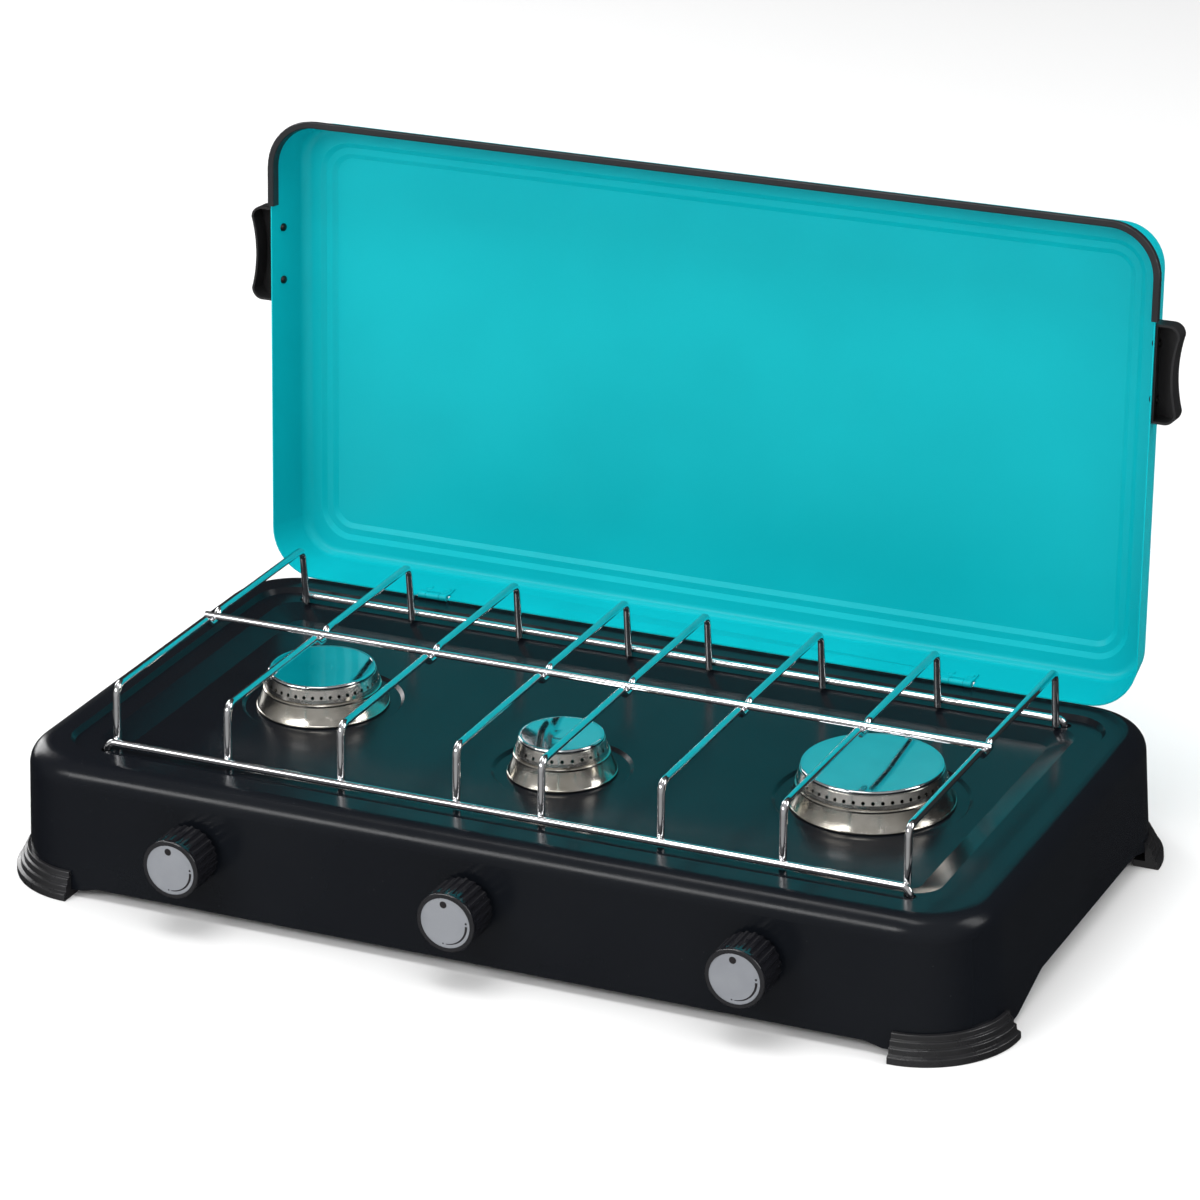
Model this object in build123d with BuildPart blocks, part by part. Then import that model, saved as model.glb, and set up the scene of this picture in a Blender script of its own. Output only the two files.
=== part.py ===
from build123d import *
import math
import os

# Three-burner camping stove with a hinged lid, in millimetres. X runs to the right, Y to the back and Z up.
# Z = 0 is the surface that the feet stand on. The lid is modelled open.

os.makedirs("parts", exist_ok=True)

# ---- driving dimensions ----
HOUSING_Y = -10.0  # the housing's centre, forward of the middle of the open stove
DECK_Z = 92.0  # flat rim on top of the housing
HOUSING_W = 682.0
HOUSING_D = 359.0
CORNER_R = 50.0
WALL_TAPER = 2.86  # degrees, the walls spread towards the bottom
TOP_FILLET = 15.0
SHEET = 1.2
SKIRT_CORNER_Z = 5.0  # lower edge of the walls at the corners
SKIRT_FRONT_Z = 8.0  # lower edge between the corners, front and back
SKIRT_SIDE_Z = 17.0  # lower edge of the arches in the side walls

STEP_DROP = 3.5
STEP_W, STEP_D, STEP_R = 633.0, 303.0, 28.0
STEP_RUN = 2.5
WELL_DROP = 9.5
WELL_TOP = (596.0, 270.0, 18.0)
WELL_FLOOR = (562.0, 236.0, 8.0)
DISH_DROP = 11.5
DISH_TAPER = 50.0

BURNERS = {
    # name: x, y from the housing's centre, cap radius, skirt top radius, skirt foot radius, dish radius, ports
    "left": (-197.0, 0.0, 36.3, 40.0, 45.3, 55.0, 40),
    "middle": (0.0, -38.0, 28.2, 32.0, 36.7, 47.0, 28),
    "right": (204.0, -2.0, 46.5, 50.0, 54.8, 65.0, 48),
}
SKIRT_H = 15.0
RING_TOP_H = 24.0
CAP_TOP_H = 27.0
PORT_R = 1.2
NECK_OUT_R = 12.0
NECK_IN_R = 9.0

WIRE_R = 2.5
WELD = 0.1  # how far two welded wires sink into each other
RAIL_H = 1.5  # rail centre above the deck
WIRE_H = 39.0  # straight run of a cross wire above the deck
LEG_Y = 132.5
LEG_TOP_Y = 130.0
RAIL_Y = LEG_Y + 2 * WIRE_R - WELD
WIRE_PITCH = 83.3
WIRE_XS = [side * (30.1 + WIRE_PITCH * i) for side in (-1, 1) for i in range(4)]
RAIL_END_X = 283.0
HOOK = (2.5, 2.5, 11.0)  # the rail ends run out, towards the edge and down by this much
HOOK_HOLE = (284.86, 139.26, 3.6)  # x, y and radius of the holes in the deck

KNOB_XS = {"left": -198.0, "middle": 0.0, "right": 198.0}
KNOB_Z = 48.5
KNOB_R = 20.4
KNOB_FACE_Y = -212.0
KNOB_BACK_Y = -185.4
DISC_R = 17.2
SPINDLE_R = 3.0
RUNNING = 0.05  # radial running clearance of a shaft in its bore

PIPE_R = 5.0
PIPE_Z = 34.0
PIPE_Y = -160.0
PIPE_LEFT_X = -268.0
TUBE_R = 9.0
TUBE_BEND = 20.0

LID_OPEN = 94.4  # degrees from closed to the open stop
LID_W = 648.0
LID_D = 330.0
LID_R = 34.0
LID_SHEET = 0.8
LID_H = 37.3  # the outer ledge of the lid above its rim
LID_TAPER = 10.0
HINGE_Y = 166.0  # hinge axis, from the housing's centre
HINGE_H = 2.7  # hinge axis above the deck
RIM_H = 1.5  # rim edge of the closed lid above the deck
RIM_BACK = 1.0  # the closed rim reaches this far behind the hinge axis
HINGE_X = 197.0
KNUCKLE_R = 2.3
PIN_R = 1.25

GRIP_LOW, GRIP_HIGH = 199.5, 266.5  # along the rim, measured from its hinge edge
GRIP_OUT = 16.5
RIVET_ALONG = (213.0, 250.8)
TRIM_START = 268.5  # the edge trim runs round the front of the lid from here

# ---- frames ----
deck = Plane((0, HOUSING_Y, DECK_Z))
floor = Plane((0, HOUSING_Y, 0))
lid_turn = math.radians(LID_OPEN)
# The lid's frame sits on the hinge axis.
# Its Y runs from the lid's front edge to the hinge, and its Z away from the rim.
lid_frame = Plane(
    origin=(0, HOUSING_Y + HINGE_Y, DECK_Z + HINGE_H),
    x_dir=(1, 0, 0),
    z_dir=(0, math.sin(lid_turn), math.cos(lid_turn)),
)
RIM_Z = RIM_H - HINGE_H  # rim edge in the lid's frame
LID_MID_Y = RIM_BACK - LID_D / 2


def side_plane(frame, x):
    """The plane across a frame at x, with the frame's Y as its first axis and Z as its second."""
    return Plane(origin=frame.from_local_coords((x, 0, 0)), x_dir=frame.y_dir, z_dir=frame.x_dir)


def front_plane(y, z=0.0):
    """A plane facing the front at y from the housing's centre, with X to the right and Z up."""
    return Plane(origin=(0, HOUSING_Y + y, z), x_dir=(1, 0, 0), z_dir=(0, -1, 0))


def wall_offset(z):
    """How far the housing wall has spread from its top outline at height z."""
    return (DECK_Z - z) * math.tan(math.radians(WALL_TAPER))


def housing_block(inset, radius, top):
    """The solid block inside one face of the housing's sheet."""
    with BuildPart() as block:
        with BuildSketch(deck.offset(-top)):
            RectangleRounded(HOUSING_W - 2 * inset, HOUSING_D - 2 * inset, CORNER_R - inset)
        extrude(amount=-(DECK_Z - top), taper=-WALL_TAPER)
        fillet(block.faces().sort_by(Axis.Z)[-1].edges(), radius)
    return block.part


def deck_recess(grow, drop):
    """The stepped well and the burner dishes as one solid, grown by a distance and lowered."""
    with BuildPart() as recess:
        with BuildSketch(deck.offset(-STEP_DROP - drop)):
            RectangleRounded(
                STEP_W - 2 * STEP_RUN + 2 * grow,
                STEP_D - 2 * STEP_RUN + 2 * grow,
                STEP_R - STEP_RUN + grow,
            )
        with BuildSketch(deck.offset(-drop)):
            RectangleRounded(STEP_W + 2 * grow, STEP_D + 2 * grow, STEP_R + grow)
        loft()
        with BuildSketch(deck.offset(-STEP_DROP - drop)):
            width, depth, radius = WELL_TOP
            RectangleRounded(width + 2 * grow, depth + 2 * grow, radius + grow)
        with BuildSketch(deck.offset(-WELL_DROP - drop)):
            width, depth, radius = WELL_FLOOR
            RectangleRounded(width + 2 * grow, depth + 2 * grow, radius + grow)
        loft()
        for x, y, _, _, _, dish_r, _ in BURNERS.values():
            with BuildSketch(deck.offset(-WELL_DROP - drop)):
                with Locations((x, y)):
                    Circle(dish_r + grow)
            extrude(amount=WELL_DROP - DISH_DROP, taper=DISH_TAPER)
    return recess.part


def side_arches():
    """What is cut from under the side walls, so that their lower edge arches between the feet."""
    arch = [(-400, -40), (-400, SKIRT_CORNER_Z), (-110, SKIRT_CORNER_Z), (-66, SKIRT_SIDE_Z)]
    arch += [(109, SKIRT_SIDE_Z), (153, SKIRT_CORNER_Z), (400, SKIRT_CORNER_Z), (400, -40)]
    with BuildPart() as cut:
        for x in (-HOUSING_W / 2 - 20, HOUSING_W / 2 - 40):
            with BuildSketch(side_plane(floor, x)):
                with BuildLine():
                    FilletPolyline(*arch, radius=14, close=True)
                make_face()
            extrude(amount=60)
    return cut.part


def front_recess():
    """What is cut from under the front and rear walls, which stop a little above the corners."""
    low, high = SKIRT_CORNER_Z, SKIRT_FRONT_Z
    edge = [(-500, -40), (-500, low), (-284, low), (-272, high)]
    edge += [(-x, z) for x, z in reversed(edge)]
    with BuildPart() as cut:
        with BuildSketch(front_plane(HOUSING_D)):
            with BuildLine():
                FilletPolyline(*edge, radius=3, close=True)
            make_face()
        extrude(amount=2 * HOUSING_D)
    return cut.part


def corner_axis(side, end, z):
    """The plane through a corner's centre at height z that faces straight out of the corner."""
    return Plane(
        origin=(side * CORNER_X, HOUSING_Y + end * CORNER_Y, z),
        x_dir=(-end, side, 0),
        z_dir=(side, end, 0),
    )


# ---- housing ----
CORNER_X = HOUSING_W / 2 - CORNER_R
CORNER_Y = HOUSING_D / 2 - CORNER_R
CORNERS = {
    "front_left": (-1, -1),
    "front_right": (1, -1),
    "rear_left": (-1, 1),
    "rear_right": (1, 1),
}
DISH_Z = DECK_Z - DISH_DROP
SCREW_Z = 7.5
SCREW_R = 1.5
TONGUE_Y = HINGE_Y + 1.2  # front face of the hinge bracket's tongue
TONGUE_T = 1.1
TONGUE_W = 10.0

well_skin = deck_recess(SHEET, SHEET)

with BuildPart() as hollow:
    add(housing_block(SHEET, TOP_FILLET - SHEET, SHEET))
    add(well_skin, mode=Mode.SUBTRACT)

with BuildPart() as housing:
    add(housing_block(0, TOP_FILLET, 0))
    add(deck_recess(0, 0), mode=Mode.SUBTRACT)
    add(hollow.part, mode=Mode.SUBTRACT)
    add(side_arches(), mode=Mode.SUBTRACT)
    add(front_recess(), mode=Mode.SUBTRACT)
    with BuildSketch(deck):
        # holes for the burner necks
        for x, y, *_ in BURNERS.values():
            with Locations((x, y)):
                Circle(NECK_OUT_R + 0.3)
        # holes for the hooks of the pan support
        hole_x, hole_y, hole_r = HOOK_HOLE
        with Locations(*[(side * hole_x, end * hole_y) for side, end in CORNERS.values()]):
            Circle(hole_r)
        # slots for the tongues of the hinge brackets
        with Locations(*[(side * HINGE_X, TONGUE_Y + TONGUE_T / 2) for side in (-1, 1)]):
            Rectangle(TONGUE_W + 0.6, TONGUE_T + 0.6)
    extrude(amount=-20, mode=Mode.SUBTRACT)
    # holes for the taps in the front wall
    with BuildSketch(front_plane(-HOUSING_D / 2 + 10, KNOB_Z)):
        with Locations(*[(x, 0) for x in KNOB_XS.values()]):
            Circle(8)
    extrude(amount=20, mode=Mode.SUBTRACT)
    # hole for the gas inlet in the rear wall
    with BuildSketch(front_plane(HOUSING_D / 2 + 10, PIPE_Z)):
        with Locations((PIPE_LEFT_X, 0)):
            Circle(7.4)
    extrude(amount=20, mode=Mode.SUBTRACT)
    # holes for the foot screws
    with BuildSketch(*[corner_axis(side, end, SCREW_Z) for side, end in CORNERS.values()]):
        Circle(SCREW_R + 0.15)
    extrude(amount=CORNER_R + 10, mode=Mode.SUBTRACT)
housing.part.label = "housing"
export_step(housing.part, "parts/housing.step")

# ---- feet: a quarter turn of a ribbed profile round each corner ----
FOOT_H = 18.0
FOOT_R = 64.0
FOOT_IN_R = 46.0
FOOT_GAP = 0.05
SHELF_Z = 4.8
FOOT_PROFILE = [
    # radius from the corner's centre, height, rounding
    (CORNER_R + wall_offset(FOOT_H) + FOOT_GAP, FOOT_H, 0),
    (FOOT_R - 7.6, FOOT_H, 0.8),
    (FOOT_R - 7.2, 14.4, 0.4),
    (FOOT_R - 5.4, 13.8, 0.8),
    (FOOT_R - 5.0, 10.2, 0.4),
    (FOOT_R - 3.2, 9.6, 0.8),
    (FOOT_R - 2.8, 5.8, 0.4),
    (FOOT_R - 0.2, 4.8, 0.9),
    (FOOT_R, 0, 0.6),
    (FOOT_IN_R, 0, 0.6),
    (FOOT_IN_R, SHELF_Z, 0.6),
    (CORNER_R + wall_offset(SHELF_Z) + FOOT_GAP, SHELF_Z, 0),
]

for name, (side, end) in CORNERS.items():
    upright = (side * CORNER_X, HOUSING_Y + end * CORNER_Y, 0)
    with BuildPart() as foot:
        with BuildSketch(Plane(origin=upright, x_dir=(side, 0, 0), z_dir=(0, -side, 0))):
            with BuildLine():
                FilletPolyline(
                    *[(r, z) for r, z, _ in FOOT_PROFILE],
                    radius=[rounding for _, _, rounding in FOOT_PROFILE],
                    close=True,
                )
            make_face()
        revolve(axis=Axis(upright, (0, 0, side * end)), revolution_arc=90)
        with BuildSketch(corner_axis(side, end, SCREW_Z)):
            Circle(SCREW_R + 0.05)
        extrude(amount=FOOT_R - 4.2, mode=Mode.SUBTRACT)
    foot.part.label = f"foot_{name}"
    export_step(foot.part, f"parts/foot_{name}.step")

WALL_IN_R = CORNER_R + wall_offset(SCREW_Z) - SHEET
with BuildPart() as foot_screws:
    for side, end in CORNERS.values():
        seat = corner_axis(side, end, SCREW_Z).offset(WALL_IN_R - 0.2)
        with BuildSketch(seat):
            Circle(SCREW_R)
        extrude(amount=FOOT_R - 4.6 - WALL_IN_R)
        with BuildSketch(seat):
            Circle(2.6)
        extrude(amount=-2.0, taper=20)
foot_screws.part.label = "foot_screws"
export_step(foot_screws.part, "parts/foot_screws.step")

# ---- burners ----
WEB_H = 14.0  # underside of the web that joins the neck to the skirt
NECK_DROP = 8.5
NUT_T = 4.0
HEX_R = 17.0


def upright_profile(x, y, z):
    """A plane for a profile turned round the vertical axis at x and y from the housing's centre."""
    return Plane(origin=(x, HOUSING_Y + y, z), x_dir=(1, 0, 0), z_dir=(0, -1, 0))


for name, (x, y, cap_r, top_r, foot_r, _, ports) in BURNERS.items():
    upright = Axis((x, HOUSING_Y + y, 0), (0, 0, 1))
    profile = upright_profile(x, y, DISH_Z)

    with BuildPart() as burner_skirt:
        with BuildSketch(profile):
            with BuildLine():
                Polyline(
                    (foot_r - 1.0, 0.2),
                    (NECK_OUT_R + 3, WEB_H),
                    (NECK_OUT_R, WEB_H),
                    (NECK_OUT_R, -NECK_DROP),
                    (NECK_IN_R, -NECK_DROP),
                    (NECK_IN_R, SKIRT_H),
                    (top_r - 0.6, SKIRT_H),
                    (top_r, SKIRT_H - 0.6),
                    (top_r, SKIRT_H - 2.0),
                )
                ThreePointArc(
                    (top_r, SKIRT_H - 2.0),
                    ((top_r + foot_r) / 2 - 0.5, SKIRT_H / 2 - 0.6),
                    (foot_r - 0.3, 1.6),
                )
                Line((foot_r - 0.3, 1.6), (foot_r - 1.0, 0.2))
            make_face()
            with BuildLine():
                # the hollow under the skirt
                Polyline(
                    (foot_r - 2.2, 0),
                    (NECK_OUT_R, 0),
                    (NECK_OUT_R, WEB_H),
                    (top_r - 1.4, WEB_H),
                    (top_r - 1.0, SKIRT_H - 2.4),
                )
                ThreePointArc(
                    (top_r - 1.0, SKIRT_H - 2.4),
                    ((top_r + foot_r) / 2 - 1.5, SKIRT_H / 2 - 0.7),
                    (foot_r - 1.6, 1.6),
                )
                Line((foot_r - 1.6, 1.6), (foot_r - 2.2, 0))
            make_face(mode=Mode.SUBTRACT)
            # rolled lower edge
            with Locations((foot_r - 1.1, 1.1)):
                Circle(1.1)
        revolve(axis=upright)
    burner_skirt.part.label = f"burner_skirt_{name}"
    export_step(burner_skirt.part, f"parts/burner_skirt_{name}.step")

    with BuildPart() as flame_ring:
        with BuildSketch(profile):
            with BuildLine():
                FilletPolyline(
                    (cap_r - 6, SKIRT_H),
                    (cap_r + 2.8, SKIRT_H),
                    (cap_r + 2.2, SKIRT_H + 3.2),
                    (cap_r + 0.4, RING_TOP_H),
                    (cap_r - 0.6, RING_TOP_H),
                    (cap_r + 1.2, SKIRT_H + 3.0),
                    (cap_r + 1.2, SKIRT_H + 1.0),
                    (cap_r - 6, SKIRT_H + 1.0),
                    radius=[0, 0.7, 0.8, 0, 0, 0.4, 0, 0],
                    close=True,
                )
            make_face()
        revolve(axis=upright)
        port_z = DISH_Z + SKIRT_H + 4.6
        port_planes = [
            Plane(
                origin=(x, HOUSING_Y + y, port_z),
                z_dir=(math.cos(turn), math.sin(turn), 0),
            )
            for turn in [2 * math.pi * i / ports for i in range(ports)]
        ]
        with BuildSketch(*[plane.offset(cap_r - 3) for plane in port_planes]):
            Circle(PORT_R)
        extrude(amount=8, mode=Mode.SUBTRACT)
    flame_ring.part.label = f"flame_ring_{name}"
    export_step(flame_ring.part, f"parts/flame_ring_{name}.step")

    with BuildPart() as burner_cap:
        with BuildSketch(profile):
            with BuildLine():
                Polyline(
                    (0, RING_TOP_H),
                    (cap_r - 3.4, RING_TOP_H),
                    (cap_r - 3.4, RING_TOP_H - 1.5),
                    (cap_r - 2.2, RING_TOP_H - 1.5),
                    (cap_r - 2.2, RING_TOP_H),
                    (cap_r - 0.4, RING_TOP_H),
                    (cap_r, RING_TOP_H + 0.6),
                    (cap_r, RING_TOP_H + 2.0),
                )
                ThreePointArc(
                    (cap_r, RING_TOP_H + 2.0),
                    (cap_r - 0.8, CAP_TOP_H - 0.2),
                    (cap_r - 2.0, CAP_TOP_H - 0.3),
                )
                ThreePointArc(
                    (cap_r - 2.0, CAP_TOP_H - 0.3),
                    (cap_r / 2 + 3, CAP_TOP_H - 0.8),
                    (8, CAP_TOP_H - 1.1),
                )
                Polyline((8, CAP_TOP_H - 1.1), (0, CAP_TOP_H - 1.1), (0, RING_TOP_H))
            make_face()
        revolve(axis=upright)
    burner_cap.part.label = f"burner_cap_{name}"
    export_step(burner_cap.part, f"parts/burner_cap_{name}.step")

with BuildPart() as burner_nuts:
    with BuildSketch(deck.offset(-DISH_DROP - SHEET)):
        for x, y, *_ in BURNERS.values():
            with Locations((x, y)):
                RegularPolygon(HEX_R, 6)
                Circle(NECK_OUT_R, mode=Mode.SUBTRACT)
    extrude(amount=-NUT_T)
burner_nuts.part.label = "burner_nuts"
export_step(burner_nuts.part, "parts/burner_nuts.step")

# ---- gas train: pipe, taps, jets and mixing tubes ----
VALVE_FRONT_Y = -174.0
VALVE_DEPTH = 24.0
VALVE_W = 18.0
VALVE_TOP_Z = 60.0
JET_LENGTH = 10.0
TUBE_START_Y = -137.0
SPINDLE_END_Y = -160.0
INLET_START_Y = 170.0
INLET_R = 6.58  # major radius of a G 1/4 thread
INLET_END_Y = 206.0
VALVE_REAR_Y = VALVE_FRONT_Y + VALVE_DEPTH

with BuildPart() as gas_pipe:
    with BuildLine() as pipe_run:
        FilletPolyline(
            (KNOB_XS["right"] + 14, HOUSING_Y + PIPE_Y, PIPE_Z),
            (PIPE_LEFT_X, HOUSING_Y + PIPE_Y, PIPE_Z),
            (PIPE_LEFT_X, HOUSING_Y + INLET_START_Y, PIPE_Z),
            radius=30,
        )
    with BuildSketch(Plane(origin=pipe_run.line @ 0, z_dir=pipe_run.line % 0)):
        Circle(PIPE_R)
        Circle(PIPE_R - 1, mode=Mode.SUBTRACT)
    sweep()
    # the right end is closed
    with BuildSketch(Plane(origin=pipe_run.line @ 0, z_dir=pipe_run.line % 0)):
        Circle(PIPE_R)
    extrude(amount=2)
gas_pipe.part.label = "gas_pipe"
export_step(gas_pipe.part, "parts/gas_pipe.step")

with BuildPart() as gas_inlet:
    with BuildSketch(front_plane(INLET_START_Y, PIPE_Z)):
        with Locations((PIPE_LEFT_X, 0)):
            RegularPolygon(9, 6)
    extrude(amount=-10)
    with BuildSketch(front_plane(INLET_START_Y + 10, PIPE_Z)):
        with Locations((PIPE_LEFT_X, 0)):
            Circle(6.9)
    extrude(amount=-7)
    with BuildSketch(front_plane(INLET_START_Y + 17, PIPE_Z)):
        with Locations((PIPE_LEFT_X, 0)):
            Circle(INLET_R)
    extrude(amount=-(INLET_END_Y - INLET_START_Y - 17))
    chamfer(gas_inlet.faces().sort_by(Axis.Y)[-1].edges(), 0.8)
    with BuildSketch(front_plane(INLET_START_Y, PIPE_Z)):
        with Locations((PIPE_LEFT_X, 0)):
            Circle(2.5)
    extrude(amount=-(INLET_END_Y - INLET_START_Y), mode=Mode.SUBTRACT)
gas_inlet.part.label = "gas_inlet"
export_step(gas_inlet.part, "parts/gas_inlet.step")

with BuildPart() as inlet_nut:
    with BuildSketch(front_plane(INLET_START_Y + 13.2, PIPE_Z)):
        with Locations((PIPE_LEFT_X, 0)):
            RegularPolygon(10.5, 6)
            Circle(6.9, mode=Mode.SUBTRACT)
    extrude(amount=-3.6)
inlet_nut.part.label = "inlet_nut"
export_step(inlet_nut.part, "parts/inlet_nut.step")

with BuildPart() as gas_jets:
    for x in KNOB_XS.values():
        with BuildSketch(front_plane(VALVE_REAR_Y, KNOB_Z)):
            with Locations((x, 0)):
                RegularPolygon(4.5, 6)
                Circle(0.4, mode=Mode.SUBTRACT)
        extrude(amount=-JET_LENGTH / 2)
        with BuildSketch(front_plane(VALVE_REAR_Y + JET_LENGTH / 2, KNOB_Z)):
            with Locations((x, 0)):
                Circle(3.0)
                Circle(0.4, mode=Mode.SUBTRACT)
        extrude(amount=-JET_LENGTH / 2, taper=10)
gas_jets.part.label = "gas_jets"
export_step(gas_jets.part, "parts/gas_jets.step")

with BuildPart() as valve_clamps:
    for x in KNOB_XS.values():
        with BuildSketch(side_plane(floor, x - VALVE_W / 2)):
            with Locations((PIPE_Y, PIPE_Z - 3.3)):
                Rectangle(16, 6.6)
            with Locations((PIPE_Y, PIPE_Z)):
                Circle(PIPE_R, mode=Mode.SUBTRACT)
        extrude(amount=VALVE_W)
valve_clamps.part.label = "valve_clamps"
export_step(valve_clamps.part, "parts/valve_clamps.step")

for name, x in KNOB_XS.items():
    with BuildPart() as valve_body:
        with BuildSketch(side_plane(floor, x - VALVE_W / 2)):
            with Locations(((VALVE_FRONT_Y + VALVE_REAR_Y) / 2, (PIPE_Z + VALVE_TOP_Z) / 2)):
                RectangleRounded(VALVE_DEPTH, VALVE_TOP_Z - PIPE_Z, 2)
            with Locations((PIPE_Y, PIPE_Z)):
                Circle(PIPE_R, mode=Mode.SUBTRACT)
        extrude(amount=VALVE_W)
        with BuildSketch(front_plane(VALVE_FRONT_Y, KNOB_Z)):
            with Locations((x, 0)):
                Circle(SPINDLE_R + RUNNING)
        extrude(amount=-(SPINDLE_END_Y + 5 - VALVE_FRONT_Y), mode=Mode.SUBTRACT)
    valve_body.part.label = f"valve_body_{name}"
    export_step(valve_body.part, f"parts/valve_body_{name}.step")

    burner_x, burner_y = BURNERS[name][:2]
    with BuildPart() as mixing_tube:
        with BuildLine() as tube_run:
            FilletPolyline(
                (x, HOUSING_Y + TUBE_START_Y, KNOB_Z),
                (burner_x, HOUSING_Y + burner_y, KNOB_Z),
                (burner_x, HOUSING_Y + burner_y, DISH_Z - 4),
                radius=TUBE_BEND,
            )
        with BuildSketch(Plane(origin=tube_run.line @ 0, z_dir=tube_run.line % 0)):
            Circle(TUBE_R)
            Circle(TUBE_R - 1, mode=Mode.SUBTRACT)
        sweep()
    mixing_tube.part.label = f"mixing_tube_{name}"
    export_step(mixing_tube.part, f"parts/mixing_tube_{name}.step")

# ---- taps: collar, spindle, knob and disc ----
COLLAR_Y = -179.5
KNOB_DEPTH = KNOB_BACK_Y - KNOB_FACE_Y
HUB_DEPTH = 20.0
BEZEL = 3.2
FLUTES = 24

for name, x in KNOB_XS.items():
    with BuildPart() as tap_collar:
        with BuildSketch(front_plane(COLLAR_Y, KNOB_Z)):
            with Locations((x, 0)):
                Circle(6.5)
                Circle(SPINDLE_R + RUNNING, mode=Mode.SUBTRACT)
        extrude(amount=-2)
    tap_collar.part.label = f"tap_collar_{name}"
    export_step(tap_collar.part, f"parts/tap_collar_{name}.step")

    with BuildPart() as tap_spindle:
        with BuildSketch(front_plane(SPINDLE_END_Y, KNOB_Z)):
            with Locations((x, 0)):
                Circle(SPINDLE_R)
        extrude(amount=SPINDLE_END_Y - KNOB_BACK_Y + HUB_DEPTH)
    tap_spindle.part.label = f"tap_spindle_{name}"
    export_step(tap_spindle.part, f"parts/tap_spindle_{name}.step")

    with BuildPart() as knob:
        with BuildSketch(front_plane(KNOB_BACK_Y, KNOB_Z)):
            with Locations((x, 0)):
                Circle(KNOB_R)
        extrude(amount=KNOB_DEPTH)
        fillet(knob.edges().sort_by(Axis.Y)[0], 1.0)
        # flutes round the barrel, which stop behind the bezel
        with BuildSketch(front_plane(KNOB_BACK_Y, KNOB_Z)):
            with Locations((x, 0)):
                with PolarLocations(KNOB_R + 1.3, FLUTES):
                    Circle(2.3)
        extrude(amount=KNOB_DEPTH - BEZEL, mode=Mode.SUBTRACT)
        # hollow back round the hub
        with BuildSketch(front_plane(KNOB_BACK_Y, KNOB_Z)):
            with Locations((x, 0)):
                Circle(KNOB_R - 3.0)
                Circle(6.0, mode=Mode.SUBTRACT)
        extrude(amount=HUB_DEPTH, mode=Mode.SUBTRACT)
        with BuildSketch(front_plane(KNOB_BACK_Y, KNOB_Z)):
            with Locations((x, 0)):
                Circle(SPINDLE_R)
        extrude(amount=HUB_DEPTH, mode=Mode.SUBTRACT)
        # seat of the disc
        with BuildSketch(front_plane(KNOB_FACE_Y, KNOB_Z)):
            with Locations((x, 0)):
                Circle(DISC_R)
        extrude(amount=-1.2, mode=Mode.SUBTRACT)
    knob.part.label = f"knob_{name}"
    export_step(knob.part, f"parts/knob_{name}.step")

    with BuildPart() as knob_disc:
        with BuildSketch(front_plane(KNOB_FACE_Y + 0.3, KNOB_Z)):
            with Locations((x, 0)):
                Circle(DISC_R)
        extrude(amount=-0.9)
    knob_disc.part.label = f"knob_disc_{name}"
    export_step(knob_disc.part, f"parts/knob_disc_{name}.step")

# ---- pan support ----
DIP = 2 * WIRE_R - WELD
LEG_FOOT_H = -1.6  # the legs end just below the rails
DIP_HALF = 3.4
DIP_RUN = 9.5

for number, x in enumerate(sorted(WIRE_XS), start=1):
    half = [
        (DIP_HALF, WIRE_H - DIP, 3.6),
        (DIP_RUN, WIRE_H, 5.0),
        (LEG_TOP_Y, WIRE_H, 7.0),
        (LEG_Y, LEG_FOOT_H, 0.0),
    ]
    course = [(-y, z, r) for y, z, r in reversed(half)] + half
    with BuildPart() as cross_wire:
        with BuildLine() as wire_run:
            FilletPolyline(
                *[(x, HOUSING_Y + y, DECK_Z + z) for y, z, _ in course],
                radius=[r for _, _, r in course[1:-1]],
            )
        with BuildSketch(Plane(origin=wire_run.line @ 0, z_dir=wire_run.line % 0)):
            Circle(WIRE_R)
        sweep()
    cross_wire.part.label = f"cross_wire_{number}"
    export_step(cross_wire.part, f"parts/cross_wire_{number}.step")

for name, end in {"front": -1, "rear": 1}.items():
    hook_x, hook_y, hook_z = HOOK
    tip = (RAIL_END_X + hook_x, HOUSING_Y + end * (RAIL_Y + hook_y), DECK_Z + RAIL_H - hook_z)
    bend = (RAIL_END_X, HOUSING_Y + end * RAIL_Y, DECK_Z + RAIL_H)
    with BuildPart() as rail:
        with BuildLine() as rail_run:
            FilletPolyline(
                (-tip[0], tip[1], tip[2]),
                (-bend[0], bend[1], bend[2]),
                bend,
                tip,
                radius=5,
            )
        with BuildSketch(Plane(origin=rail_run.line @ 0, z_dir=rail_run.line % 0)):
            Circle(WIRE_R)
        sweep()
    rail.part.label = f"{name}_rail"
    export_step(rail.part, f"parts/{name}_rail.step")

with BuildPart() as centre_rail:
    with BuildSketch(Plane(origin=(-WIRE_XS[-1] - 5, HOUSING_Y, DECK_Z + WIRE_H), z_dir=(1, 0, 0))):
        Circle(WIRE_R)
    extrude(amount=2 * (WIRE_XS[-1] + 5))
centre_rail.part.label = "centre_rail"
export_step(centre_rail.part, "parts/centre_rail.step")

# ---- hinges on the housing ----
BRACKET_HALF = TONGUE_W / 2
FLANGE_FRONT_Y = 156.0
FLANGE_T = 1.2

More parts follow.
